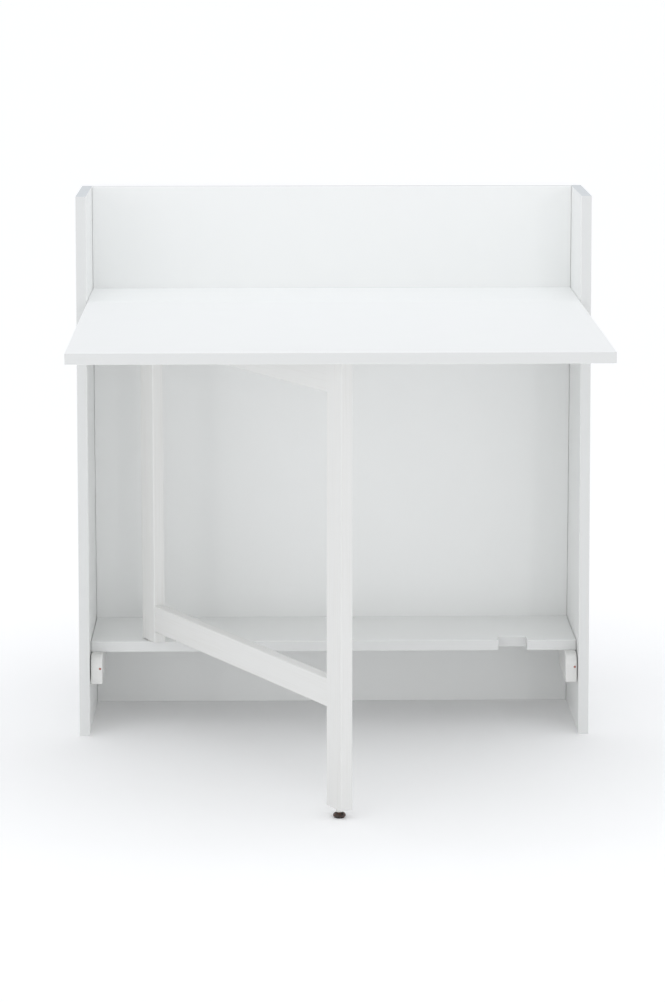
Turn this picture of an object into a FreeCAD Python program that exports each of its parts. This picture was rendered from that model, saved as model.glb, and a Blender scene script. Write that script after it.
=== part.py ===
import FreeCAD, Part
import os
import re
import Sketcher

# A white gate-leg secretary desk: a shallow case that stands against a wall, a leaf
# hinged to the case's fixed top, and a gate that swings out under the leaf.
# Millimetres, +Z up, front towards -Y. The origin is on the floor, in the middle of
# the desk's outline seen from above with the leaf up.

sizes = {
    # case
    "case_width": 880,
    "case_height": 930,
    "case_depth": 198,  # rear face of the back to the front of fixed top and shelf
    "side_depth_top": 195,
    "side_depth_foot": 245,
    "board": 18,
    "back_board": 16,
    "board_ease": 1,
    "joint_gap": 0.3,  # between a side panel and the back or the fixed top dowelled to it
    "shelf_gap": 0.7,
    "worktop_height": 750,
    "shelf_height": 155,
    "notch_width": 50,
    "notch_depth": 27,
    # support blocks under the shelf
    "block_width": 20,
    "block_length": 123,
    "block_height": 49,
    "block_reach": 30,
    "block_gap": 1.5,
    "block_nose": 20,  # radius of the upper front corner
    "block_ease": 1.5,
    "block_screw_inset": 50,
    "block_screw_pitch": 50,
    "plug_offset": 16,
    "plug_drop": 22.5,  # underside of the shelf to the plug's axis
    "plug_radius": 2,
    "plug_length": 6,
    "plug_proud": 0.4,
    # leaf
    "leaf_length": 590,
    "leaf_side_gap": 1,
    "seam_gap": 1,
    # leaf hinges
    "hinge_length": 60,
    "hinge_plate": 1.5,
    "hinge_wing": 24,
    "hinge_inset": 47,  # a side panel's inner face to the middle of the hinge beside it
    "barrel_radius": 2.5,
    "barrel_clearance": 0.2,
    "knuckle_length": 20,
    "knuckle_gap": 0.3,
    "hinge_pin_radius": 1.5,
    "pin_clearance": 0.05,
    "hinge_screw_pitch": 22,
    # gate
    "pivot_inset": 109,  # inner face of the left side panel to the pivot axis
    "pivot_setback": 12,
    "gate_length": 624,  # pivot axis to the middle of the front leg
    "open_angle": 60,
    "post_width": 46,
    "post_thick": 21,
    "post_ease": 2.2,
    "post_end_ease": 0.8,
    "gate_gap": 1,
    "leg_bottom": 16,
    "rail_thick": 19,
    "rail_ease": 2,
    "upper_rail_width": 50,
    "upper_rail_drop": 5,
    "lower_rail_width": 46,
    "lower_rail_rise": 20,
    "rail_dowel_spacing": 24,
    # pivots
    "pivot_pin_radius": 4,
    "pivot_pin_grip": 22,
    "bush_radius": 6,
    "bush_depth": 12,
    "bush_flange_radius": 9,
    "bush_flange": 1,
    "pin_end_gap": 2,
    "pin_ease": 0.5,
    "running_gap": 0.1,
    # gate stop under the leaf
    "stop_length": 50,
    "stop_thick": 18,
    "stop_height": 20,
    "stop_gap": 0.3,
    "stop_screw_pitch": 26,
    # levelling foot
    "glide_radius": 10.3,
    "glide_foot_radius": 8.2,
    "glide_belly": 3.2,
    "glide_height": 8.6,
    "glide_rim": 2,
    "glide_slope": 0.8,
    "collar_radius": 5.5,
    "collar_gap": 0.4,
    "insert_depth": 30,
    "stem_radius": 4,
    "stem_length": 28,
    # dowels and screws
    "dowel_radius": 4,
    "dowel_reach": 14,  # from the joint's face into each board
    "dowel_end_gap": 1,
    "case_dowel_reach": 11,
    "dowel_setback": 40,  # front plane to the first dowel of fixed top and shelf
    "dowel_pitch": 100,
    "back_dowel_end": 60,
    "back_dowel_drop": 90,
    "screw_radius": 2,
    "screw_head_radius": 4,
    "screw_head": 2.4,
    "small_screw_radius": 1.5,
    "small_head_radius": 2.8,
    "small_head": 1.2,
    "small_screw_bite": 12,
    "screw_end_gap": 1,
}

doc = FreeCAD.newDocument("secretary_desk")
sheet = doc.addObject("Spreadsheet::Sheet", "sizes")
for row, (name, value) in enumerate(sizes.items(), 1):
    sheet.set("A%d" % row, name)
    sheet.set("B%d" % row, str(value))
    sheet.setAlias("B%d" % row, name)
doc.recompute()

# Places worked out from the sizes
rear = "((case_depth + seam_gap + leaf_length) / 2)"
front = "(%s - case_depth)" % rear  # front plane of the fixed top and the shelf
leaf_front = "(0 - %s)" % rear
leaf_back = "(%s - seam_gap)" % front
back_face = "(%s - back_board)" % rear
inner = "(case_width / 2 - board)"  # inner face of the right side panel
board_end = "(%s - joint_gap)" % inner  # right end of the back and the fixed top
shelf_end = "(%s - shelf_gap)" % inner
underside = "(worktop_height - board)"  # of the fixed top and the leaf
shelf_under = "(shelf_height - board)"

pivot_x = "(pivot_inset - %s)" % inner
pivot_y = "(%s + pivot_setback)" % front
parked_leg = "(%s + gate_length)" % pivot_x
post_bottom = "(shelf_height + bush_flange + running_gap)"
post_top = "(%s - gate_gap)" % underside
upper_rail_top = "(%s - upper_rail_drop)" % post_top
lower_rail_bottom = "(shelf_height + lower_rail_rise)"
leg_near = "(gate_length - post_width / 2)"

hinge_y = "(%s - seam_gap / 2)" % front
hinge_z = "(%s - barrel_radius - barrel_clearance)" % underside
plate_under = "(%s - hinge_plate)" % underside
web_top = "(%s - barrel_clearance)" % underside  # the barrel turns clear of the boards

made = []  # every document object that is a node of its own
up = FreeCAD.Vector(0, 0, 1)
about_up = FreeCAD.Placement(FreeCAD.Vector(), FreeCAD.Rotation(up, 1))  # the angle is bound later
least_cut = 0.1  # mm3


def bound(text):
    """The expression with each size written as a cell of the sheet."""
    return re.sub(r"[a-z][a-z_]*", lambda word: "sizes." + word[0] if word[0] in sizes else word[0], text)


def value(text):
    return float(sheet.evalExpression(bound(text)))


def bind_place(item, x="0", y="0", z="0"):
    for axis, text in zip("xyz", (x, y, z)):
        item.setExpression("Placement.Base." + axis, bound(text))


def new_body(name, on_gate=False):
    """A body in the desk's frame, or in the gate's: along the gate from the pivot axis."""
    body = doc.addObject("PartDesign::Body", name)
    body.Label = name
    if on_gate:
        body.Placement = about_up
        bind_place(body, pivot_x, pivot_y)
        body.setExpression("Placement.Rotation.Angle", bound("-open_angle"))
    made.append(body)
    return body


def new_sketch(body, role, level="0"):
    sketch = body.newObject("Sketcher::SketchObject", body.Name + "_sketch")
    plane = [item for item in body.Origin.OriginFeatures if item.Role == role][0]
    sketch.AttachmentSupport = [(plane, "")]
    sketch.MapMode = "FlatFace"
    sketch.setExpression("AttachmentOffset.Base.z", bound(level))
    return sketch


def fix_point(sketch, item, end, x, y):
    """Hold a sketch point at two signed distances from the origin."""
    for kind, text in (("DistanceX", x), ("DistanceY", y)):
        rule = sketch.addConstraint(Sketcher.Constraint(kind, -1, 1, item, end, value(text)))
        sketch.setExpression("Constraints[%d]" % rule, bound(text))


def draw_outline(sketch, points):
    corners = [FreeCAD.Vector(value(x), value(y), 0) for x, y in points]
    count = len(corners)
    first = sketch.GeometryCount
    for i in range(count):
        sketch.addGeometry(Part.LineSegment(corners[i], corners[(i + 1) % count]), False)
    for i in range(count):
        after = first + (i + 1) % count
        sketch.addConstraint(Sketcher.Constraint("Coincident", first + i, 2, after, 1))
        fix_point(sketch, first + i, 1, *points[i])


def draw_circle(sketch, x, y, radius):
    centre = FreeCAD.Vector(value(x), value(y), 0)
    ring = sketch.addGeometry(Part.Circle(centre, up, value(radius)), False)
    fix_point(sketch, ring, 3, x, y)
    rule = sketch.addConstraint(Sketcher.Constraint("Radius", ring, value(radius)))
    sketch.setExpression("Constraints[%d]" % rule, bound(radius))


def pad(body, sketch, length):
    feature = body.newObject("PartDesign::Pad", body.Name + "_pad")
    feature.Profile = sketch
    feature.setExpression("Length", bound(length))
    doc.recompute()
    return feature


def pocket(body, sketch, depth, upward=False):
    """Cut against the sketch's normal, or along it when upward."""
    before = body.Shape.Volume
    feature = body.newObject("PartDesign::Pocket", body.Name + "_pocket")
    feature.Profile = sketch
    feature.setExpression("Length", bound(depth))
    feature.Reversed = upward
    doc.recompute()
    if not body.Shape.Volume < before - least_cut:
        raise RuntimeError("a pocket of " + body.Label + " cuts nothing")
    return feature


def round_edges(body, radius, wanted=None):
    """Round every edge, or the edges that the function wanted picks."""
    base = body.Tip
    names = ["Edge%d" % i for i, edge in enumerate(base.Shape.Edges, 1) if wanted is None or wanted(edge)]
    feature = body.newObject("PartDesign::Fillet", body.Name + "_ease")
    feature.Base = (base, names)
    feature.setExpression("Radius", bound(radius))
    doc.recompute()
    return feature


def block(name, x0, x1, y0, y1, z0, z1, on_gate=False):
    body = new_body(name, on_gate)
    sketch = new_sketch(body, "XY_Plane", z0)
    draw_outline(sketch, [(x0, y0), (x1, y0), (x1, y1), (x0, y1)])
    pad(body, sketch, "%s - %s" % (z1, z0))
    return body


def drill(body, role, level, centres, radius, depth, upward=False):
    sketch = new_sketch(body, role, level)
    for x, y in centres:
        draw_circle(sketch, x, y, radius)
    pocket(body, sketch, depth, upward)


def rod(name, radius, length, direction, x, y, z):
    """A plain cylinder from x, y, z along one of the axes."""
    item = doc.addObject("Part::Cylinder", name)
    item.setExpression("Radius", bound(radius))
    item.setExpression("Height", bound(length))
    item.Placement = FreeCAD.Placement(FreeCAD.Vector(), FreeCAD.Rotation(up, FreeCAD.Vector(*direction)))
    bind_place(item, x, y, z)
    return item


def fuse(name, base, tool):
    item = doc.addObject("Part::Fuse", name)
    item.Base = base
    item.Tool = tool
    return item


def gather(name, items, on_gate=False):
    """One node of separate, identical solids."""
    group = doc.addObject("Part::Compound", name)
    group.Label = name
    group.Links = items
    if on_gate:
        group.Placement = about_up
        bind_place(group, pivot_x, pivot_y)
        group.setExpression("Placement.Rotation.Angle", bound("-open_angle"))
    made.append(group)
    return group


def rising_screw(name, radius, head_radius, head, length, x, y, z):
    """A pan-head screw driven upwards, its head's top at z."""
    shank = rod(name + "_shank", radius, "%s + %s" % (head, length), (0, 0, 1), x, y, "%s - %s" % (z, head))
    cap = rod(name + "_head", head_radius, head, (0, 0, 1), x, y, "%s - %s" % (z, head))
    return fuse(name, cap, shank)


# Dowel places on the side panels' inner faces, as (y, z)
dowel_depths = ["%s + dowel_setback" % front, "%s + dowel_setback + dowel_pitch" % front]
top_dowels = [(depth, "worktop_height - board / 2") for depth in dowel_depths]
shelf_dowels = [(depth, "shelf_height - board / 2") for depth in dowel_depths]
back_dowel_heights = [
    "back_dowel_end", "worktop_height / 2", "worktop_height - back_dowel_drop", "case_height - back_dowel_end"
]
back_dowels = [("%s - back_board / 2" % rear, height) for height in back_dowel_heights]
case_dowels = top_dowels + shelf_dowels + back_dowels
case_hole = "case_dowel_reach + dowel_end_gap"


def side_panel(name, is_left):
    body = new_body(name)
    outer = "(0 - case_width / 2)" if is_left else inner
    sketch = new_sketch(body, "YZ_Plane", outer)
    draw_outline(
        sketch,
        [
            (rear, "0"),
            (rear, "case_height"),
            ("%s - side_depth_top" % rear, "case_height"),
            ("%s - side_depth_foot" % rear, "0"),
        ],
    )
    pad(body, sketch, "board")
    round_edges(body, "board_ease")
    inside = "(0 - %s)" % inner if is_left else inner
    drill(body, "YZ_Plane", inside, case_dowels, "dowel_radius", case_hole, upward=not is_left)


def drill_ends(body, holes):
    """Dowel holes in the two ends that meet the side panels."""
    drill(body, "YZ_Plane", "0 - %s" % inner, holes, "dowel_radius", case_hole, upward=True)
    drill(body, "YZ_Plane", inner, holes, "dowel_radius", case_hole)


def make_case():
    side_panel("left_side_panel", True)
    side_panel("right_side_panel", False)

    left_end = "(0 - %s)" % board_end
    back = block("back_panel", left_end, board_end, back_face, rear, "0", "case_height")
    round_edges(back, "board_ease")
    drill_ends(back, back_dowels)

    top = block("fixed_top", left_end, board_end, front, back_face, underside, "worktop_height")
    round_edges(top, "board_ease")
    drill_ends(top, top_dowels)
    drill(top, "XY_Plane", underside, [(pivot_x, pivot_y)], "bush_radius", "bush_depth", upward=True)
    drill(top, "XY_Plane", underside, screw_row(1), "small_screw_radius", "small_screw_bite", upward=True)

    shelf = new_body("lower_shelf")
    sketch = new_sketch(shelf, "XY_Plane", shelf_under)
    notch_left = "(%s - notch_width / 2)" % parked_leg
    notch_right = "(%s + notch_width / 2)" % parked_leg
    notch_back = "(%s + notch_depth)" % front
    draw_outline(
        sketch,
        [
            ("0 - %s" % shelf_end, front),
            (notch_left, front),
            (notch_left, notch_back),
            (notch_right, notch_back),
            (notch_right, front),
            (shelf_end, front),
            (shelf_end, back_face),
            ("0 - %s" % shelf_end, back_face),
        ],
    )
    pad(shelf, sketch, "board")
    round_edges(shelf, "board_ease")
    drill_ends(shelf, shelf_dowels)
    drill(shelf, "XY_Plane", "shelf_height", [(pivot_x, pivot_y)], "bush_radius", "bush_depth")
    holes = block_screw_places()
    drill(shelf, "XY_Plane", shelf_under, holes, "screw_radius", "small_screw_bite", upward=True)

    dowels = []
    for side, text in (("left", "(0 - %s)" % inner), ("right", inner)):
        for i, (y, z) in enumerate(case_dowels, 1):
            start = "%s - case_dowel_reach" % text
            name = "%s_dowel_%d" % (side, i)
            dowels.append(rod(name, "dowel_radius", "2 * case_dowel_reach", (1, 0, 0), start, y, z))
    gather("case_dowels", dowels)


def block_left_edge(side):
    if side == "left":
        return "(block_gap - %s)" % inner
    return "(%s - block_gap - block_width)" % inner


def block_screw_places():
    first = "%s - block_reach + block_screw_inset" % front
    return [
        ("%s + block_width / 2" % block_left_edge(side), "%s + %s" % (first, step))
        for side in ("left", "right")
        for step in ("0", "block_screw_pitch")
    ]


def make_support_blocks():
    nose = "(%s - block_reach)" % front
    bottom = "(%s - block_height)" % shelf_under
    places = block_screw_places()
    plugs = []
    for side in ("left", "right"):
        edge = block_left_edge(side)
        body = block(
            side + "_support_block", edge, "%s + block_width" % edge,
            nose, "%s + block_length" % nose, bottom, shelf_under,
        )
        round_edges(
            body, "block_nose",
            lambda edge: edge.BoundBox.YMax < value(nose + " + block_ease")
            and edge.BoundBox.ZMin > value(shelf_under + " - block_ease"),
        )
        round_edges(body, "block_ease", lambda edge: edge.BoundBox.XLength < value("block_ease"))
        mine = places[:2] if side == "left" else places[2:]
        drill(body, "XY_Plane", bottom, mine, "screw_radius", "block_height", upward=True)
        plug_x = "%s + plug_offset" % edge
        plug_z = "%s - plug_drop" % shelf_under
        # a sketch on the XZ plane faces -Y, so its level is counted towards the front
        drill(body, "XZ_Plane", "0 - %s" % nose, [(plug_x, plug_z)], "plug_radius", "plug_length")
        plug_y = "%s - plug_proud" % nose
        length = "plug_length + plug_proud"
        plugs.append(rod(side + "_plug", "plug_radius", length, (0, 1, 0), plug_x, plug_y, plug_z))
    gather("block_plugs", plugs)
    screws = [
        rising_screw(
            "block_screw_%d" % i, "screw_radius", "screw_head_radius", "screw_head",
            "block_height + small_screw_bite - screw_end_gap", x, y, bottom,
        )
        for i, (x, y) in enumerate(places, 1)
    ]
    gather("block_screws", screws)


hinge_starts = {
    "left": "(hinge_inset - %s - hinge_length / 2)" % inner,
    "centre": "(0 - hinge_length / 2)",
    "right": "(%s - hinge_inset - hinge_length / 2)" % inner,
}


def screw_row(side):
    """Hinge screw places on the fixed top (side 1) or on the leaf (side -1)."""
    y = "%s + %d * (barrel_radius + hinge_wing) / 2" % (hinge_y, side)
    steps = ("0 - hinge_screw_pitch", "0", "hinge_screw_pitch")
    return [
        ("%s + hinge_length / 2 + %s" % (start, step), y)
        for start in hinge_starts.values()
        for step in steps
    ]


def hinge_half(name, start, side, knuckles, bore):
    """One wing of a butt hinge under the boards, with the knuckles it carries."""
    body = new_body(name)
    near = "%s + %d * (barrel_radius + barrel_clearance)" % (hinge_y, side)
    far = "%s + %d * hinge_wing" % (hinge_y, side)
    sketch = new_sketch(body, "YZ_Plane", start)
    draw_outline(sketch, [(near, plate_under), (far, plate_under), (far, underside), (near, underside)])
    pad(body, sketch, "hinge_length")
    for begin, length in knuckles:
        level = "%s + %s" % (start, begin)
        web = new_sketch(body, "YZ_Plane", level)
        draw_outline(web, [(hinge_y, plate_under), (near, plate_under), (near, web_top), (hinge_y, web_top)])
        pad(body, web, length)
        barrel = new_sketch(body, "YZ_Plane", level)
        draw_circle(barrel, hinge_y, hinge_z, "barrel_radius")
        pad(body, barrel, length)
    drill(body, "YZ_Plane", "%s + hinge_length" % start, [(hinge_y, hinge_z)], bore, "hinge_length")
    row = [place for place in screw_row(side) if start in place[0]]
    drill(body, "XY_Plane", underside, row, "small_screw_radius", "hinge_plate")


def make_hinges():
    outer_knuckles = [("0", "knuckle_length"), ("hinge_length - knuckle_length", "knuckle_length")]
    middle = [("knuckle_length + knuckle_gap", "hinge_length - 2 * knuckle_length - 2 * knuckle_gap")]
    pins = []
    for side, start in hinge_starts.items():
        hinge_half(side + "_hinge_fixed_wing", start, 1, outer_knuckles, "hinge_pin_radius")
        hinge_half(side + "_hinge_leaf_wing", start, -1, middle, "hinge_pin_radius + pin_clearance")
        name = side + "_pin"
        pins.append(rod(name, "hinge_pin_radius", "hinge_length", (1, 0, 0), start, hinge_y, hinge_z))
    gather("hinge_pins", pins)
    for name, side in (("hinge_top_screws", 1), ("hinge_leaf_screws", -1)):
        screws = [
            rising_screw(
                "%s_%d" % (name, i), "small_screw_radius", "small_head_radius", "small_head",
                "hinge_plate + small_screw_bite - screw_end_gap", x, y, plate_under,
            )
            for i, (x, y) in enumerate(screw_row(side), 1)
        ]
        gather(name, screws)


def on_gate_place(along, across):
    """A point given along and across the open gate, in the desk's frame."""
    angle = "open_angle * 1deg"
    x = "%s + (%s) * cos(%s) + (%s) * sin(%s)" % (pivot_x, along, angle, across, angle)
    y = "%s - (%s) * sin(%s) + (%s) * cos(%s)" % (pivot_y, along, angle, across, angle)
    return x, y


stop_near = "(0 - rail_thick / 2 - stop_gap)"
stop_far = "(%s - stop_thick)" % stop_near
stop_screws_on_gate = [
    ("gate_length / 2 %s stop_screw_pitch / 2" % sign, "(%s + %s) / 2" % (stop_near, stop_far))
    for sign in "-+"
]
stop_screw_places = [on_gate_place(*place) for place in stop_screws_on_gate]


def make_leaf():
    reach = "(%s - leaf_side_gap)" % inner
    leaf = block("drop_leaf", "0 - %s" % reach, reach, leaf_front, leaf_back, underside, "worktop_height")
    round_edges(leaf, "board_ease")
    drill(leaf, "XY_Plane", underside, screw_row(-1), "small_screw_radius", "small_screw_bite", upward=True)
    drill(leaf, "XY_Plane", underside, stop_screw_places, "screw_radius", "small_screw_bite", upward=True)

    middle = "gate_length / 2"
    stop_bottom = "(%s - stop_height)" % underside
    stop = block(
        "gate_stop", "%s - stop_length / 2" % middle, "%s + stop_length / 2" % middle,
        stop_far, stop_near, stop_bottom, underside, on_gate=True,
    )
    round_edges(stop, "board_ease")
    drill(stop, "XY_Plane", stop_bottom, stop_screws_on_gate, "screw_radius", "stop_height", upward=True)
    screws = [
        rising_screw(
            "stop_screw_%d" % i, "screw_radius", "screw_head_radius", "screw_head",
            "stop_height + small_screw_bite - screw_end_gap", x, y, stop_bottom,
        )
        for i, (x, y) in enumerate(stop_screw_places, 1)
    ]
    gather("gate_stop_screws", screws)


def gate_post(name, middle, bottom):
    x0 = "%s - post_width / 2" % middle
    x1 = "%s + post_width / 2" % middle
    body = block(name, x0, x1, "0 - post_thick / 2", "post_thick / 2", bottom, post_top, on_gate=True)
    round_edges(body, "post_ease", lambda edge: edge.BoundBox.ZLength > value("post_width"))
    round_edges(body, "post_end_ease", lambda edge: edge.BoundBox.ZLength < value("post_end_ease"))
    return body


def make_gate():
    rails = {
        "upper_rail": ("(%s - upper_rail_width)" % upper_rail_top, upper_rail_top),
        "lower_rail": (lower_rail_bottom, "(%s + lower_rail_width)" % lower_rail_bottom),
    }
    heights = [
        "(%s + %s) / 2 %s rail_dowel_spacing / 2" % (bottom, top, sign)
        for bottom, top in rails.values()
        for sign in "-+"
    ]
    hole = "dowel_reach + dowel_end_gap"
    holes = [("0", height) for height in heights]

    post = gate_post("hinge_post", "0", post_bottom)
    drill(post, "YZ_Plane", "post_width / 2", holes, "dowel_radius", hole)
    drill(post, "XY_Plane", post_bottom, [("0", "0")], "pivot_pin_radius", "pivot_pin_grip", upward=True)
    drill(post, "XY_Plane", post_top, [("0", "0")], "pivot_pin_radius", "pivot_pin_grip")

    leg = gate_post("front_leg", "gate_length", "leg_bottom")
    drill(leg, "YZ_Plane", leg_near, holes, "dowel_radius", hole, upward=True)
    drill(leg, "XY_Plane", "leg_bottom", [("gate_length", "0")], "collar_radius", "insert_depth", upward=True)

    for name, (bottom, top) in rails.items():
        rail = block(
            name, "post_width / 2", leg_near, "0 - rail_thick / 2", "rail_thick / 2", bottom, top,
            on_gate=True,
        )
        round_edges(rail, "rail_ease", lambda edge: edge.Length > value("gate_length") / 2)
        mine = [place for place in holes if bottom in place[1]]
        drill(rail, "YZ_Plane", "post_width / 2", mine, "dowel_radius", hole, upward=True)
        drill(rail, "YZ_Plane", leg_near, mine, "dowel_radius", hole)

    dowels = []
    for i, face in enumerate(("post_width / 2", leg_near), 1):
        start = "%s - dowel_reach" % face
        for j, height in enumerate(heights, 1):
            name = "rail_dowel_%d_%d" % (i, j)
            dowels.append(rod(name, "dowel_radius", "2 * dowel_reach", (1, 0, 0), start, "0", height))
    gather("rail_dowels", dowels, on_gate=True)


def make_pivots():
    bush = new_body("lower_pivot_bush")
    sketch = new_sketch(bush, "XY_Plane", "shelf_height - bush_depth")
    draw_circle(sketch, pivot_x, pivot_y, "bush_radius")
    pad(bush, sketch, "bush_depth")
    sketch = new_sketch(bush, "XY_Plane", "shelf_height")
    draw_circle(sketch, pivot_x, pivot_y, "bush_flange_radius")
    pad(bush, sketch, "bush_flange")
    bore = "pivot_pin_radius + pin_clearance"
    through = "bush_depth + bush_flange"
    drill(bush, "XY_Plane", "shelf_height + bush_flange", [(pivot_x, pivot_y)], bore, through)

    bush = new_body("upper_pivot_bush")
    sketch = new_sketch(bush, "XY_Plane", underside)
    draw_circle(sketch, pivot_x, pivot_y, "bush_radius")
    pad(bush, sketch, "bush_depth")
    drill(bush, "XY_Plane", underside, [(pivot_x, pivot_y)], bore, "bush_depth", upward=True)

    lowest = "(shelf_height - bush_depth + pin_end_gap)"
    highest = "(%s + bush_depth - pin_end_gap)" % underside
    pins = {
        "lower_pivot_pin": (lowest, "(%s + pivot_pin_grip)" % post_bottom),
        "upper_pivot_pin": ("(%s - pivot_pin_grip)" % post_top, highest),
    }
    for name, (low, high) in pins.items():
        pin = new_body(name)
        sketch = new_sketch(pin, "XY_Plane", low)
        draw_circle(sketch, pivot_x, pivot_y, "pivot_pin_radius")
        pad(pin, sketch, "%s - %s" % (high, low))
        round_edges(pin, "pin_ease")


def make_levelling_foot():
    leg = ("gate_length", "0")
    low = "(glide_height + collar_gap)"

    insert = new_body("leg_insert", on_gate=True)
    sketch = new_sketch(insert, "XY_Plane", low)
    draw_circle(sketch, *leg, "collar_radius")
    pad(insert, sketch, "leg_bottom + insert_depth - %s" % low)
    high = "leg_bottom + insert_depth"
    drill(insert, "XY_Plane", high, [leg], "stem_radius + pin_clearance", "%s - %s" % (high, low))

    stem = new_body("foot_stem", on_gate=True)
    sketch = new_sketch(stem, "XY_Plane", "glide_height")
    draw_circle(sketch, *leg, "stem_radius")
    pad(stem, sketch, "stem_length")

    glide = doc.addObject("PartDesign::Body", "foot_glide")
    glide.Label = "foot_glide"
    made.append(glide)
    sketch = new_sketch(glide, "XZ_Plane")
    draw_outline(
        sketch,
        [
            ("0", "0"),
            ("glide_foot_radius", "0"),
            ("glide_radius", "glide_belly"),
            ("glide_radius - glide_slope", "glide_belly + glide_rim"),
            ("collar_radius + glide_slope", "glide_height - glide_slope"),
            ("collar_radius - glide_slope", "glide_height"),
            ("0", "glide_height"),
        ],
    )
    turned = glide.newObject("PartDesign::Revolution", "foot_glide_turned")
    turned.Profile = sketch
    turned.ReferenceAxis = (sketch, ["V_Axis"])
    turned.Angle = 360
    bind_place(glide, *on_gate_place("gate_length", "0"))
    doc.recompute()


make_case()
make_support_blocks()
make_hinges()
make_leaf()
make_gate()
make_pivots()
make_levelling_foot()
doc.recompute()

broken = [item.Label for item in doc.Objects if "Invalid" in item.State or "Error" in item.State]
broken += [item.Label for item in made if item.Shape.isNull() or not item.Shape.isValid()]
if broken:
    raise RuntimeError("not built: " + ", ".join(broken))

os.makedirs("parts", exist_ok=True)
for item in made:
    item.Shape.exportStep("parts/%s.step" % item.Label)
    print(item.Label, len(item.Shape.Solids), round(item.Shape.Volume))
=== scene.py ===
import bmesh
import bpy
import math
from mathutils import Matrix, Vector


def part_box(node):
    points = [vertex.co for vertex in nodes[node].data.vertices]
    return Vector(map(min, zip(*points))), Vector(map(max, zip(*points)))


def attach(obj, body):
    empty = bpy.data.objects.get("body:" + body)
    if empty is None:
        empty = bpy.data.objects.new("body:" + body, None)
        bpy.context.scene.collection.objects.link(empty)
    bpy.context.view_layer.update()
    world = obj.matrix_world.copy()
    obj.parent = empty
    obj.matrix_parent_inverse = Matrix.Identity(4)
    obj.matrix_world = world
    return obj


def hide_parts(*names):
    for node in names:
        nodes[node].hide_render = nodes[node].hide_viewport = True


# White gate-leg secretary desk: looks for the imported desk. Metres, front towards -Y.

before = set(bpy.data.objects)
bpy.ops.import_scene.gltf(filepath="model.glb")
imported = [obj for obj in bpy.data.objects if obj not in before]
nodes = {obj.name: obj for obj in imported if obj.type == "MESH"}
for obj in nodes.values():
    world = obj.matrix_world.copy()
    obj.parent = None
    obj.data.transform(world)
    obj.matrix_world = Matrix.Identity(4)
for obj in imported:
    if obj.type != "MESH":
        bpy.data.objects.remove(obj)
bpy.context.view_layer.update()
scene = bpy.context.scene
mm = 0.001
print("frame loaded,", len(nodes), "nodes")


camera = {
    "place": (-0.09693, -5.11210, 1.45773),
    "tiltDown": 8.2214,
    "turnRight": 1.0192,
    "lens": 112.564,
    "shift": -0.165,  # keeps the desk's upright edges nearly upright in the frame
}


def makeCamera(c):
    data = bpy.data.cameras.new("deskCamera")
    data.lens = c["lens"]
    data.shift_y = c["shift"]
    data.clip_end = 200  # m, past the floor's far edge
    item = bpy.data.objects.new("deskCamera", data)
    item.location = c["place"]
    item.rotation_euler = (math.radians(90 - c["tiltDown"]), 0, math.radians(-c["turnRight"]))
    scene.collection.objects.link(item)
    scene.camera = item


makeCamera(camera)
scene.view_settings.view_transform = "Standard"
print("camera ready")


def toLinear(code):
    shades = [int(code[i:i + 2], 16) / 255 for i in (1, 3, 5)]
    return [s / 12.92 if s <= 0.04045 else ((s + 0.055) / 1.055) ** 2.4 for s in shades] + [1.0]


def perMetre(size):
    # a texture's scale for a feature of this many millimetres
    return 1000 / size


def addNode(tree, kind, inputs=None, **settings):
    # one shader node: its settings, then a value or a link for each named or numbered input
    node = tree.nodes.new("ShaderNode" + kind)
    for name, value in settings.items():
        setattr(node, name, value)
    for name, value in (inputs or {}).items():
        if isinstance(value, bpy.types.NodeSocket):
            tree.links.new(value, node.inputs[name])
        else:
            node.inputs[name].default_value = value
    return node


def newFinish(name):
    finish = bpy.data.materials.new(name)
    finish.use_nodes = True
    tree = finish.node_tree
    tree.nodes.clear()
    shader = addNode(tree, "BsdfPrincipled")
    addNode(tree, "OutputMaterial", {"Surface": shader.outputs["BSDF"]})
    return finish, tree, shader


def setFinish(finish, *names):
    for name in names:
        slots = nodes[name].data.materials
        slots.clear()
        slots.append(finish)


# Melamine-faced particleboard, pressed against a fine pearl plate: even cool white with a soft
# sheen. The edges are ABS banding ironed on, a touch duller, with a hairline at the glue line;
# the band's darker grey is also painted shade on the boards' edge faces.
melamine = {
    "face": "#F4F5F4",
    "bandAndShade": "#E0E1E0",
    "shadedTopEnd": "#D0D4D6",  # painted shade: the side panels' top ends, banded like the other edges, are painted a darker, cooler grey
    "glue": "#B9B6AE",
    "glueShare": 0.35,
    "pearl": 1.2,  # mm between the plate's grains
    "pearlDepth": 0.03 * mm,
    "wave": 60,  # mm, the slow unevenness of the pressed face
    "waveDepth": 0.4 * mm,
    "waveDim": 0.985,  # the darkest tone, as a share of the face
    "roughness": 0.42,
    "bandDuller": 0.08,
    "edgeStart": 0.33,  # the normal's share along the board's thin axis where the edge begins
}


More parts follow.
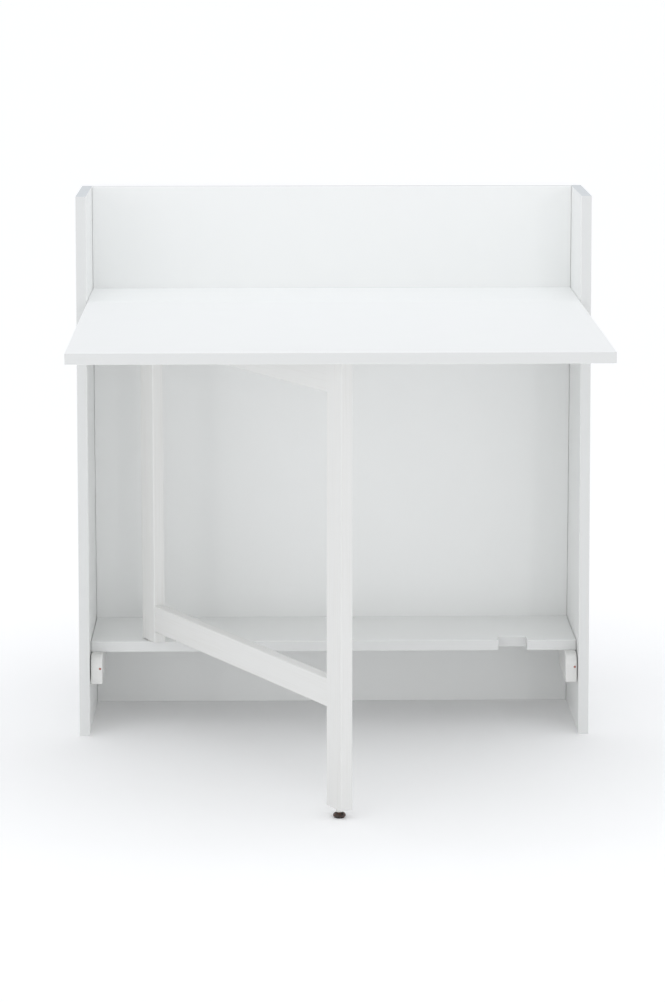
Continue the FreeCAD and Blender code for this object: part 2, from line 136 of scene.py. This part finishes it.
def whiteMelamine(name, faceAxis, shadedTopEnd):
    m = melamine
    finish, tree, shader = newFinish(name)
    place = addNode(tree, "TexCoord")
    along = addNode(tree, "SeparateXYZ", {0: place.outputs["Normal"]})
    facing = addNode(tree, "Math", {0: along.outputs[faceAxis]}, operation="ABSOLUTE")
    wave = addNode(tree, "TexNoise", {
        "Vector": place.outputs["Object"], "Scale": perMetre(m["wave"]), "Detail": 3.0
    })
    tone = addNode(tree, "MixRGB", {
        0: wave.outputs["Fac"],
        1: toLinear(m["face"]),
        2: [c * m["waveDim"] for c in toLinear(m["face"])],
    })
    toBand = addNode(tree, "MapRange", {
        "Value": facing.outputs[0],
        "From Min": m["edgeStart"] - 0.03, "From Max": m["edgeStart"] + 0.03,
        "To Min": 1.0, "To Max": 0.0,
    })
    # edge faces take the band grey: a duller banding, and partly painted shade on the edges
    banded = addNode(tree, "MixRGB", {
        0: toBand.outputs[0], 1: tone.outputs[0], 2: toLinear(m["bandAndShade"])
    })
    # painted shade: faces that look upwards on the side panels take the darker top-end grey
    if shadedTopEnd:
        topShade = addNode(tree, "MapRange", {
            "Value": along.outputs["Z"], "From Min": 0.6, "From Max": 0.9
        })
        banded = addNode(tree, "MixRGB", {
            0: topShade.outputs[0], 1: banded.outputs[0], 2: toLinear(m["shadedTopEnd"])
        })
    # the glue line lies where the rounded edge starts
    off = addNode(tree, "Math", {0: facing.outputs[0], 1: m["edgeStart"]}, operation="SUBTRACT")
    off = addNode(tree, "Math", {0: off.outputs[0]}, operation="ABSOLUTE")
    line = addNode(tree, "MapRange", {
        "Value": off.outputs[0],
        "From Min": 0.02, "From Max": 0.10, "To Min": m["glueShare"], "To Max": 0.0,
    })
    lined = addNode(tree, "MixRGB", {
        0: line.outputs[0], 1: banded.outputs[0], 2: toLinear(m["glue"])
    })
    pearl = addNode(tree, "TexNoise", {
        "Vector": place.outputs["Object"], "Scale": perMetre(m["pearl"]), "Detail": 2.0
    })
    gloss = addNode(tree, "MapRange", {
        "Value": pearl.outputs["Fac"], "From Min": 0.3, "From Max": 0.7,
        "To Min": m["roughness"] - 0.05, "To Max": m["roughness"] + 0.05,
    })
    dull = addNode(tree, "Math", {
        0: toBand.outputs[0], 1: m["bandDuller"], 2: gloss.outputs[0]
    }, operation="MULTIPLY_ADD")
    grain = addNode(tree, "Bump", {
        "Height": pearl.outputs["Fac"], "Strength": 0.25, "Distance": m["pearlDepth"]
    })
    swell = addNode(tree, "Bump", {
        "Height": wave.outputs["Fac"], "Strength": 0.4, "Distance": m["waveDepth"],
        "Normal": grain.outputs[0],
    })
    shader.inputs["IOR"].default_value = 1.5
    tree.links.new(lined.outputs[0], shader.inputs["Base Color"])
    tree.links.new(dull.outputs[0], shader.inputs["Roughness"])
    tree.links.new(swell.outputs[0], shader.inputs["Normal"])
    return finish


boards = {  # by the axis that each board is thin along
    "X": {"members": ("left_side_panel", "right_side_panel"), "shadedTopEnd": True},
    "Y": {"members": ("back_panel",), "shadedTopEnd": False},
    "Z": {"members": ("fixed_top", "lower_shelf", "drop_leaf"), "shadedTopEnd": False},
}
for axis, b in boards.items():
    finish = whiteMelamine("melamine_faced_board_" + axis.lower(), axis, b["shadedTopEnd"])
    setFinish(finish, *b["members"])

# Planed rubberwood under sprayed lacquer: warm-neutral white, the pores filled but the grain
# still telegraphing through as faint long streaks, and a little softer sheen than the boards.
lacquer = {
    "coat": "#E4E4E2",
    "streak": "#DCDBD7",
    "grainWidth": 2.4,  # mm across the grain
    "grainLength": 140,
    "grainDepth": 0.12 * mm,
    "streakShare": 0.55,
    "peel": 1.6,  # mm, the spray's orange peel
    "peelDepth": 0.05 * mm,
    "roughness": 0.36,
}


def lacqueredWood(name, turn):
    # turn lays the grain, drawn along Z, along the piece
    m = lacquer
    finish, tree, shader = newFinish(name)
    place = addNode(tree, "TexCoord")
    turned = addNode(tree, "Mapping", {
        "Vector": place.outputs["Object"], "Rotation": turn
    }, vector_type="TEXTURE")
    stretched = addNode(tree, "Mapping", {
        "Vector": turned.outputs[0],
        "Scale": (perMetre(m["grainWidth"]), perMetre(m["grainWidth"]), perMetre(m["grainLength"])),
    })
    grain = addNode(tree, "TexNoise", {
        "Vector": stretched.outputs[0], "Scale": 1.0, "Detail": 4.0, "Roughness": 0.6
    })
    streaks = addNode(tree, "MapRange", {
        "Value": grain.outputs["Fac"],
        "From Min": 0.5, "From Max": 0.75, "To Min": 0.0, "To Max": m["streakShare"],
    })
    tone = addNode(tree, "MixRGB", {
        0: streaks.outputs[0], 1: toLinear(m["coat"]), 2: toLinear(m["streak"])
    })
    peel = addNode(tree, "TexNoise", {
        "Vector": place.outputs["Object"], "Scale": perMetre(m["peel"]), "Detail": 1.0
    })
    gloss = addNode(tree, "MapRange", {
        "Value": peel.outputs["Fac"], "From Min": 0.3, "From Max": 0.7,
        "To Min": m["roughness"] - 0.04, "To Max": m["roughness"] + 0.06,
    })
    skin = addNode(tree, "Bump", {
        "Height": peel.outputs["Fac"], "Strength": 0.3, "Distance": m["peelDepth"]
    })
    pores = addNode(tree, "Bump", {
        "Height": grain.outputs["Fac"], "Strength": 0.35, "Distance": m["grainDepth"],
        "Normal": skin.outputs[0],
    })
    shader.inputs["IOR"].default_value = 1.5
    tree.links.new(tone.outputs[0], shader.inputs["Base Color"])
    tree.links.new(gloss.outputs[0], shader.inputs["Roughness"])
    tree.links.new(pores.outputs[0], shader.inputs["Normal"])
    return finish


gateAngle = 60
timber = {
    "upright": {"turn": (0, 0, 0), "members": ("hinge_post", "front_leg")},
    "rail": {  # grain along the open gate
        "turn": (0, math.radians(90), math.radians(-gateAngle)),
        "members": ("upper_rail", "lower_rail", "gate_stop"),
    },
    "block": {  # grain from front to back
        "turn": (math.radians(90), 0, 0),
        "members": ("left_support_block", "right_support_block"),
    },
}
for kind, t in timber.items():
    setFinish(lacqueredWood("lacquered_rubberwood_" + kind, t["turn"]), *t["members"])
print("boards and timber finished")


# Hinge wings pressed from strip and nickel-plated, rolled screws under zinc, and bare pins ground
# bright: grey metals from warm to cool, with fine scratches that lie scratch millimetres apart.
def platedSteel(name, colour, roughness, scratch):
    finish, tree, shader = newFinish(name)
    place = addNode(tree, "TexCoord")
    scratches = addNode(tree, "TexNoise", {
        "Vector": place.outputs["Object"], "Scale": perMetre(scratch),
        "Detail": 6.0, "Roughness": 0.7, "Distortion": 1.5,
    })
    cloud = addNode(tree, "TexNoise", {
        "Vector": place.outputs["Object"], "Scale": perMetre(9 * scratch), "Detail": 2.0
    })
    tone = addNode(tree, "MixRGB", {
        0: cloud.outputs["Fac"], 1: toLinear(colour), 2: [c * 0.86 for c in toLinear(colour)]
    })
    gloss = addNode(tree, "MapRange", {
        "Value": scratches.outputs["Fac"], "From Min": 0.3, "From Max": 0.7,
        "To Min": roughness - 0.08, "To Max": roughness + 0.10,
    })
    marks = addNode(tree, "Bump", {
        "Height": scratches.outputs["Fac"], "Strength": 0.3, "Distance": 0.02 * mm
    })
    shader.inputs["Metallic"].default_value = 1.0
    tree.links.new(tone.outputs[0], shader.inputs["Base Color"])
    tree.links.new(gloss.outputs[0], shader.inputs["Roughness"])
    tree.links.new(marks.outputs[0], shader.inputs["Normal"])
    return finish


hingeSteel = platedSteel("nickel_plated_pressed_steel", "#C9C6BF", 0.30, 0.7)
screwSteel = platedSteel("zinc_plated_rolled_steel", "#C4C7CB", 0.26, 0.5)
pinSteel = platedSteel("bright_ground_steel", "#B9BABC", 0.22, 0.4)
setFinish(hingeSteel, *[n for n in nodes if n.endswith("_wing")])
setFinish(pinSteel, "hinge_pins", "lower_pivot_pin", "upper_pivot_pin")


# Injection-moulded plastics: a fine spark-eroded grain on the mould gives a soft, even gloss.
# grainSize and depth are in millimetres; the second colour is for the rubbed patches, and on the
# brown glide those patches are a painted reddish highlight.
def mouldedPlastic(name, colour, wearAndSheen, roughness, grainSize, depth, glow=0.0):
    finish, tree, shader = newFinish(name)
    place = addNode(tree, "TexCoord")
    grain = addNode(tree, "TexNoise", {
        "Vector": place.outputs["Object"], "Scale": perMetre(grainSize), "Detail": 2.0
    })
    cloud = addNode(tree, "TexNoise", {
        "Vector": place.outputs["Object"], "Scale": perMetre(12 * grainSize), "Detail": 3.0
    })
    patches = addNode(tree, "MapRange", {
        "Value": cloud.outputs["Fac"], "From Min": 0.4, "From Max": 0.7
    })
    tone = addNode(tree, "MixRGB", {
        0: patches.outputs[0], 1: toLinear(colour), 2: toLinear(wearAndSheen)
    })
    gloss = addNode(tree, "MapRange", {
        "Value": grain.outputs["Fac"], "From Min": 0.3, "From Max": 0.7,
        "To Min": roughness - 0.05, "To Max": roughness + 0.08,
    })
    skin = addNode(tree, "Bump", {
        "Height": grain.outputs["Fac"], "Strength": 0.4, "Distance": depth * mm
    })
    shader.inputs["IOR"].default_value = 1.5
    shader.inputs["Subsurface Weight"].default_value = glow
    shader.inputs["Subsurface Radius"].default_value = (1 * mm, 1 * mm, 1 * mm)
    tree.links.new(tone.outputs[0], shader.inputs["Base Color"])
    tree.links.new(gloss.outputs[0], shader.inputs["Roughness"])
    tree.links.new(skin.outputs[0], shader.inputs["Normal"])
    return finish


bushNylon = mouldedPlastic("moulded_natural_nylon", "#E8E6DC", "#DFDCCF", 0.45, 0.5, 0.02, glow=0.2)
collarNylon = mouldedPlastic("moulded_white_nylon", "#E9E9E6", "#DDDCD7", 0.42, 0.5, 0.02, glow=0.1)
# painted highlight: the glide's lighter reddish patches stand for the shine on its dark brown dome
glideBrown = mouldedPlastic("moulded_brown_polyethylene", "#2B211B", "#5E3D31", 0.24, 0.6, 0.03)
padBlack = mouldedPlastic("moulded_black_rubber", "#1B1918", "#26221F", 0.62, 0.5, 0.04)
plugBrown = mouldedPlastic("moulded_red_brown_cap", "#A8655A", "#B87A6E", 0.45, 0.5, 0.02)
setFinish(bushNylon, "lower_pivot_bush", "upper_pivot_bush")


# Turned beech dowels: pinkish straw wood with short dark rays along the length.
beech = {
    "wood": "#D3AC7E",
    "ray": "#A9784A",
    "rayLength": 8,  # mm
    "rayWidth": 0.7,
    "rayDepth": 0.06 * mm,
    "roughness": 0.62,
}


def turnedBeech(name):
    b = beech
    finish, tree, shader = newFinish(name)
    place = addNode(tree, "TexCoord")
    longAxis = addNode(tree, "Mapping", {
        "Vector": place.outputs["Object"],
        "Scale": (perMetre(b["rayLength"]), perMetre(b["rayWidth"]), perMetre(b["rayWidth"])),
    })
    rays = addNode(tree, "TexNoise", {"Vector": longAxis.outputs[0], "Scale": 1.0, "Detail": 3.0})
    dark = addNode(tree, "MapRange", {
        "Value": rays.outputs["Fac"], "From Min": 0.55, "From Max": 0.75
    })
    tone = addNode(tree, "MixRGB", {
        0: dark.outputs[0], 1: toLinear(b["wood"]), 2: toLinear(b["ray"])
    })
    grain = addNode(tree, "Bump", {
        "Height": rays.outputs["Fac"], "Strength": 0.5, "Distance": b["rayDepth"]
    })
    shader.inputs["Roughness"].default_value = b["roughness"]
    tree.links.new(tone.outputs[0], shader.inputs["Base Color"])
    tree.links.new(grain.outputs[0], shader.inputs["Normal"])
    return finish


setFinish(turnedBeech("turned_beech"), "case_dowels", "rail_dowels")
print("fittings finished")


def newPiece(name, mesh, finish, body, slot, *replaced):
    item = bpy.data.objects.new(name, mesh)
    scene.collection.objects.link(item)
    mesh.materials.append(finish)
    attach(item, body)
    if replaced:
        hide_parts(*replaced)
    return item


threadCrease = 80  # threads shade softly, so only steeper edges than this stay crisp


def toMesh(name, shape, crease=40):
    # edges that turn by more than crease degrees stay crisp
    bmesh.ops.recalc_face_normals(shape, faces=shape.faces)
    for face in shape.faces:
        face.smooth = True
    for edge in shape.edges:
        edge.smooth = edge.calc_face_angle(0) < math.radians(crease)
    mesh = bpy.data.meshes.new(name)
    shape.to_mesh(mesh)
    shape.free()
    return mesh


def addTurned(shape, profile, steps, matrix=Matrix(), swell=None):
    # turns (radius, height) points about Z. An end on the axis closes, and a profile that
    # never meets the axis closes on itself, as a tube. swell adds to a point's radius.
    rings = []
    for radius, height in profile:
        count = steps if radius > 0 else 1
        ring = []
        for i in range(count):
            angle = 2 * math.pi * i / steps
            reach = radius + (swell(angle, radius, height) if swell and radius > 0 else 0)
            point = Vector((reach * math.cos(angle), reach * math.sin(angle), height))
            ring.append(shape.verts.new(matrix @ point))
        rings.append(ring)
    pairs = list(zip(rings, rings[1:]))
    if len(rings[0]) > 1 and len(rings[-1]) > 1:
        pairs.append((rings[-1], rings[0]))
    for low, high in pairs:
        for i in range(steps):
            j = (i + 1) % steps
            corners = [low[i % len(low)], low[j % len(low)]]
            corners += [high[j % len(high)], high[i % len(high)]]
            kept = list(dict.fromkeys(corners))
            if len(kept) > 2:
                shape.faces.new(kept)


def arc(middle, level, reach, rise, start, end, steps):
    # (radius, height) points on an elliptical arc, from start to end in degrees
    angles = [math.radians(start + (end - start) * i / steps) for i in range(steps + 1)]
    return [(middle + reach * math.cos(a), level + rise * math.sin(a)) for a in angles]


def solidBoxes(name):
    # lowest and highest corner of each separate solid of a CAD node, from left to right
    shape = bmesh.new()
    shape.from_mesh(nodes[name].data)
    bmesh.ops.remove_doubles(shape, verts=shape.verts, dist=0.001 * mm)
    waiting = set(shape.verts)
    boxes = []
    while waiting:
        reached = {waiting.pop()}
        group = list(reached)
        while reached:
            near = {e.other_vert(v) for v in reached for e in v.link_edges} & waiting
            waiting -= near
            group += near
            reached = near
        places = [v.co for v in group]
        boxes.append((Vector(map(min, zip(*places))), Vector(map(max, zip(*places)))))
    shape.free()
    return sorted(boxes, key=lambda box: (round(box[0].x, 5), round(box[0].y, 5)))


# Levelling foot. The glide is a moulded dome on a rubber sole, its stem an M8 thread, and the
# collar is the mouth of the nylon insert in the leg.
foot = {
    "sole": 1.6 * mm,
    "soleInset": 2.0 * mm,
    "soleEase": 0.4 * mm,
    "soleSides": 48,
    "belly": 3.4 * mm,
    "shoulder": 60,  # degrees of the dome's ellipse, up to its flat top
    "topEase": 0.5 * mm,
    "grips": 24,
    "sidesPerGrip": 6,
    "gripDepth": 0.08 * mm,
    "gripHeight": 2.4 * mm,
    "threadPitch": 1.25 * mm,
    "threadDepth": 0.68 * mm,
    "ringsPerPitch": 6,
    "stemSides": 24,
    "stemPlay": 0.05 * mm,
    "collarEase": 0.8 * mm,
    "collarSides": 40,
    "barbs": (0.35, 0.5, 0.65),  # shares of the collar's height, where a barb starts
    "barbDepth": 0.5 * mm,
    "barbLength": 2 * mm,
}


def makeFoot(f):
    low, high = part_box("foot_glide")
    middle = Vector(((low.x + high.x) / 2, (low.y + high.y) / 2, low.z))
    seat = Matrix.Translation(middle)
    radius = (high.x - low.x) / 2
    height = high.z - low.z
    soleRadius = radius - f["soleInset"]

    shape = bmesh.new()
    ease = f["soleEase"]
    sole = [(0, 0), (soleRadius - ease, 0)]
    sole += arc(soleRadius - ease, ease, ease, ease, -60, 0, 3)
    sole += [(soleRadius, f["sole"]), (0, f["sole"])]
    addTurned(shape, sole, f["soleSides"], seat)
    newPiece("glide_sole", toMesh("glide_sole", shape), padBlack, "foot", "brown_glide")

    belly = f["belly"]

    def grips(angle, r, z):
        # shallow finger flutes round the belly, fading towards the top
        share = max(0, 1 - abs(z - belly) / f["gripHeight"])
        return -f["gripDepth"] * share * (0.5 - 0.5 * math.cos(f["grips"] * angle))

    under = belly - f["sole"]
    rise = (height - belly) / math.sin(math.radians(f["shoulder"]))
    dome = [(0, f["sole"])]
    dome += arc(radius - under, belly, under, under, -90, 0, 5)
    dome += arc(0, belly, radius, rise, 6, f["shoulder"], 9)
    dome += [(dome[-1][0] - f["topEase"], height), (0, height)]
    shape = bmesh.new()
    addTurned(shape, dome, f["sidesPerGrip"] * f["grips"], seat, grips)
    domeMesh = toMesh("glide_dome", shape)
    newPiece("glide_dome", domeMesh, glideBrown, "foot", "brown_glide", "foot_glide")

    low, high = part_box("foot_stem")
    radius = (high.x - low.x) / 2
    length = high.z - low.z
    pitch = f["threadPitch"]

    def thread(angle, r, z):
        # a triangular ridge that climbs one pitch a turn
        turns = (z / pitch - angle / (2 * math.pi)) % 1
        return -f["threadDepth"] * abs(2 * turns - 1)

    rings = int(length / pitch * f["ringsPerPitch"])
    stem = [(0, 0)] + [(radius, length * i / rings) for i in range(rings + 1)] + [(0, length)]
    shape = bmesh.new()
    seat = Matrix.Translation((middle.x, middle.y, low.z))
    addTurned(shape, stem, f["stemSides"], seat, thread)
    stemMesh = toMesh("threaded_stem", shape, threadCrease)
    newPiece("threaded_stem", stemMesh, screwSteel, "foot", "screw_steel", "foot_stem")

    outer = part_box("leg_insert")
    reach = (outer[1].x - outer[0].x) / 2
    tall = outer[1].z - outer[0].z
    ease = f["collarEase"]
    bore = radius + f["stemPlay"]
    collar = [(bore, 0)] + arc(reach - ease, ease, ease, ease, -90, 0, 4)
    for share in f["barbs"]:
        # barbs that hold the insert in the leg
        z = tall * share
        collar += [(reach, z), (reach - f["barbDepth"], z + 0.1 * mm), (reach, z + f["barbLength"])]
    collar += [(reach, tall), (bore, tall)]
    shape = bmesh.new()
    seat = Matrix.Translation((middle.x, middle.y, outer[0].z))
    addTurned(shape, collar, f["collarSides"], seat)
    collarMesh = toMesh("insert_collar", shape)
    newPiece("insert_collar", collarMesh, collarNylon, "gate", "collar_nylon", "leg_insert")


makeFoot(foot)
print("levelling foot made")

# Caps on the fronts of the support blocks: a low dome with a pressed dimple.
cap = {
    "edge": 0.35 * mm,
    "crown": 0.03 * mm,
    "dimple": 0.7 * mm,
    "dimpleDepth": 0.18 * mm,
    "sides": 32,
}


def makeCaps(c):
    shape = bmesh.new()
    for low, high in solidBoxes("block_plugs"):
        radius = (high.x - low.x) / 2
        length = high.y - low.y
        edge = c["edge"]
        outline = [(0, 0), (radius, 0), (radius, length - edge)]
        outline += arc(radius - edge, length - edge, edge, edge, 20, 80, 3)
        floor = length - c["dimpleDepth"]
        outline += [(c["dimple"], length - c["crown"]), (0.4 * c["dimple"], floor), (0, floor)]
        middle = Vector(((low.x + high.x) / 2, high.y, (low.z + high.z) / 2))
        forward = Matrix.Rotation(math.radians(90), 4, "X")
        addTurned(shape, outline, c["sides"], Matrix.Translation(middle) @ forward)
    capMesh = toMesh("block_caps", shape)
    newPiece("block_caps", capMesh, plugBrown, "case", "red_brown_plug", "block_plugs")


makeCaps(cap)
print("block caps made")

# Cross-head wood screws, all driven upwards: pan head, cross recess, rolled thread, cone point.
screws = {
    "hinge_top_screws": {"body": "case", "shank": 1.5 * mm, "head": 1.2 * mm, "pitch": 1.3 * mm},
    "hinge_leaf_screws": {"body": "leaf", "shank": 1.5 * mm, "head": 1.2 * mm, "pitch": 1.3 * mm},
    "block_screws": {"body": "case", "shank": 2.0 * mm, "head": 2.4 * mm, "pitch": 1.8 * mm},
    "gate_stop_screws": {"body": "leaf", "shank": 2.0 * mm, "head": 2.4 * mm, "pitch": 1.8 * mm},
}
screwForm = {
    "dome": 0.55,  # the rounded share of the head
    # length and width of an arm of the cross, at its floor and past its mouth, in head radii
    "crossLong": (0.75, 1.25),
    "crossWide": (0.20, 0.30),
    "crossDeep": 0.6,  # of the head's height
    "point": 2.4,  # shank radii
    "threadDepth": 0.28,  # of the shank's radius
    "ridge": 2.2,  # the pitch is this many times the thread's foot, and the rest is plain core
    "ringsPerPitch": 5,
    "headSides": 32,
    "shankSides": 16,
    "crease": 35,  # degrees, so that the edges of the cross stay crisp
    "turnStep": 37,  # degrees from one screw's cross to the next one's
}


def cutRecess(name, head, radius, height):
    # a tapered cross, cut into the face of the head
    cutter = bmesh.new()
    for across in (0, 90):
        made = bmesh.ops.create_cube(cutter, size=1)["verts"]
        for v in made:
            atMouth = v.co.z < 0
            v.co.x *= radius * screwForm["crossLong"][atMouth]
            v.co.y *= radius * screwForm["crossWide"][atMouth]
            v.co.z = -height if atMouth else height * screwForm["crossDeep"]
        bmesh.ops.rotate(cutter, verts=made, matrix=Matrix.Rotation(math.radians(across), 3, "Z"))
    blade = bpy.data.objects.new(name + "_blade", toMesh(name + "_blade", cutter))
    blank = bpy.data.objects.new(name + "_blank", toMesh(name + "_blank", head))
    for item in (blade, blank):
        scene.collection.objects.link(item)
    cut = blank.modifiers.new("recess", "BOOLEAN")
    cut.object = blade
    cut.solver = "EXACT"
    cut.use_self = True
    bpy.context.view_layer.update()
    cutBlank = blank.evaluated_get(bpy.context.evaluated_depsgraph_get())
    finished = bpy.data.meshes.new_from_object(cutBlank)
    for item in (blade, blank):
        bpy.data.objects.remove(item)
    return finished


def makeScrews(name, s):
    form = screwForm
    boxes = solidBoxes(name)
    low, high = boxes[0]
    radius = (high.x - low.x) / 2
    length = high.z - low.z
    rise = s["head"]
    # the head's face is down, at height 0
    head = bmesh.new()
    dome = form["dome"]
    outline = [(0, 0)]
    outline += arc(radius * (1 - dome), rise * dome, radius * dome, rise * dome, -90, 0, 6)
    outline += [(radius, rise), (0, rise)]
    addTurned(head, outline, form["headSides"])
    headMesh = cutRecess(name, head, radius, rise)

    def thread(angle, r, z):
        turns = (z / s["pitch"] - angle / (2 * math.pi)) % 1
        ridge = max(0, 1 - abs(2 * turns - 1) * form["ridge"])
        return -form["threadDepth"] * r * (1 - ridge)

    point = form["point"] * s["shank"]
    count = int((length - rise) / s["pitch"] * form["ringsPerPitch"])
    shank = [(0, rise)]
    for i in range(count + 1):
        z = rise + (length - rise) * i / count
        shank.append((s["shank"] * min(1, max(0.08, (length - z) / point)), z))
    shank.append((0, length))
    shape = bmesh.new()
    addTurned(shape, shank, form["shankSides"], swell=thread)
    shankMesh = toMesh(name + "_shank", shape, threadCrease)

    every = bmesh.new()
    for i, (low, high) in enumerate(boxes):
        place = Vector(((low.x + high.x) / 2, (low.y + high.y) / 2, low.z))
        turned = Matrix.Rotation(math.radians(form["turnStep"] * i), 4, "Z")
        driven = Matrix.Translation(place) @ turned
        for mesh in (headMesh, shankMesh):
            before = len(every.verts)
            every.from_mesh(mesh)
            every.verts.ensure_lookup_table()
            bmesh.ops.transform(every, matrix=driven, verts=every.verts[before:])
    piece = "cross_head_" + name
    mesh = toMesh(piece, every, form["crease"])
    newPiece(piece, mesh, screwSteel, s["body"], "screw_steel", name)


for name, s in screws.items():
    makeScrews(name, s)
print("screws made")

# Matt studio paper: nearly white, with a soft fibre so that it isn't a dead flat tone. It also
# glows as painted light, brighter away from the case.
stage = {
    "floor": "#F6F6F6",
    "fibre": 40,  # mm
    "reach": 60,  # m, past what the camera sees
    "glowNear": 0.0,  # painted light: the paper itself glows, except where the case stands
    "glowFar": 0.16,
    "glowFrom": 0.2,  # m from the foot of the back panel
    "glowTo": 1.0,
}


def makeFloor(s):
    finish, tree, shader = newFinish("matt_studio_paper")
    place = addNode(tree, "TexCoord")
    fibre = addNode(tree, "TexNoise", {
        "Vector": place.outputs["Object"], "Scale": perMetre(s["fibre"]), "Detail": 3.0
    })
    tone = addNode(tree, "MixRGB", {
        0: fibre.outputs["Fac"],
        1: toLinear(s["floor"]),
        2: [c * 0.995 for c in toLinear(s["floor"])],
    })
    shader.inputs["Roughness"].default_value = 0.95
    shader.inputs["Specular IOR Level"].default_value = 0.1
    shader.inputs["Emission Color"].default_value = toLinear("#FFFFFF")
    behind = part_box("lower_shelf")[1].y
    away = addNode(tree, "VectorMath", {
        0: place.outputs["Object"], 1: (0, behind, 0)
    }, operation="DISTANCE")
    glow = addNode(tree, "MapRange", {
        "Value": away.outputs["Value"], "From Min": s["glowFrom"], "From Max": s["glowTo"],
        "To Min": s["glowNear"], "To Max": s["glowFar"],
    })
    # painted light: the floor's emission rises from glowNear to glowFar with distance from the case
    tree.links.new(glow.outputs[0], shader.inputs["Emission Strength"])
    tree.links.new(tone.outputs[0], shader.inputs["Base Color"])
    shape = bmesh.new()
    bmesh.ops.create_grid(shape, x_segments=8, y_segments=8, size=s["reach"])
    mesh = bpy.data.meshes.new("studio_floor")
    shape.to_mesh(mesh)
    shape.free()
    mesh.materials.append(finish)
    floor = bpy.data.objects.new("studio_floor", mesh)
    scene.collection.objects.link(floor)


# Large soft lights, each given by where it shines from: degrees round to the right of the
# front, degrees up, and how wide it looks from the desk
lights = {
    "ceiling": {"side": 0, "height": 70, "spread": 40, "strength": 0.245, "tint": "#F4F8FF"},
    "leftWindow": {"side": -40, "height": 8, "spread": 40, "strength": 0.28, "tint": "#FFFFFF"},
    "rightWindow": {"side": 75, "height": 20, "spread": 40, "strength": 0.11, "tint": "#FFFFFF"},
    "frontLamp": {"side": 17, "height": 8, "spread": 2.5, "strength": 0.08, "tint": "#FFFFFF"},
}
deskLamp = {"place": (0, 0.1, 2.6), "size": (2.0, 0.8), "power": 4.5, "tint": "#F4F8FF"}
sky = {"tint": "#FCFDFF", "strength": 0.835}


def tracked(towards):
    return Vector(towards).to_track_quat("-Z", "Y").to_euler()


def addLight(name, data, tint, towards, place=(0, 0, 0)):
    data.color = toLinear(tint)[:3]
    item = bpy.data.objects.new(name, data)
    item.location = place
    item.rotation_euler = tracked(towards)
    item.visible_camera = False
    scene.collection.objects.link(item)


def makeLights():
    for name, l in lights.items():
        data = bpy.data.lights.new(name, "SUN")
        data.angle = math.radians(l["spread"])
        data.energy = l["strength"]
        side = math.radians(l["side"])
        height = math.radians(l["height"])
        level = math.cos(height)
        towards = (-math.sin(side) * level, math.cos(side) * level, -math.sin(height))
        addLight(name, data, l["tint"], towards)
    data = bpy.data.lights.new("deskLamp", "AREA")
    data.shape = "RECTANGLE"
    data.size, data.size_y = deskLamp["size"]
    data.energy = deskLamp["power"]
    addLight("deskLamp", data, deskLamp["tint"], (0, 0, -1), deskLamp["place"])


def makeSky(s):
    world = bpy.data.worlds.new("studioSky")
    world.use_nodes = True
    tree = world.node_tree
    tree.nodes.clear()
    glow = addNode(tree, "Background", {"Color": toLinear(s["tint"]), "Strength": s["strength"]})
    addNode(tree, "OutputWorld", {"Surface": glow.outputs[0]})
    scene.world = world


makeFloor(stage)
makeLights()
makeSky(sky)
print("stage and lights ready")
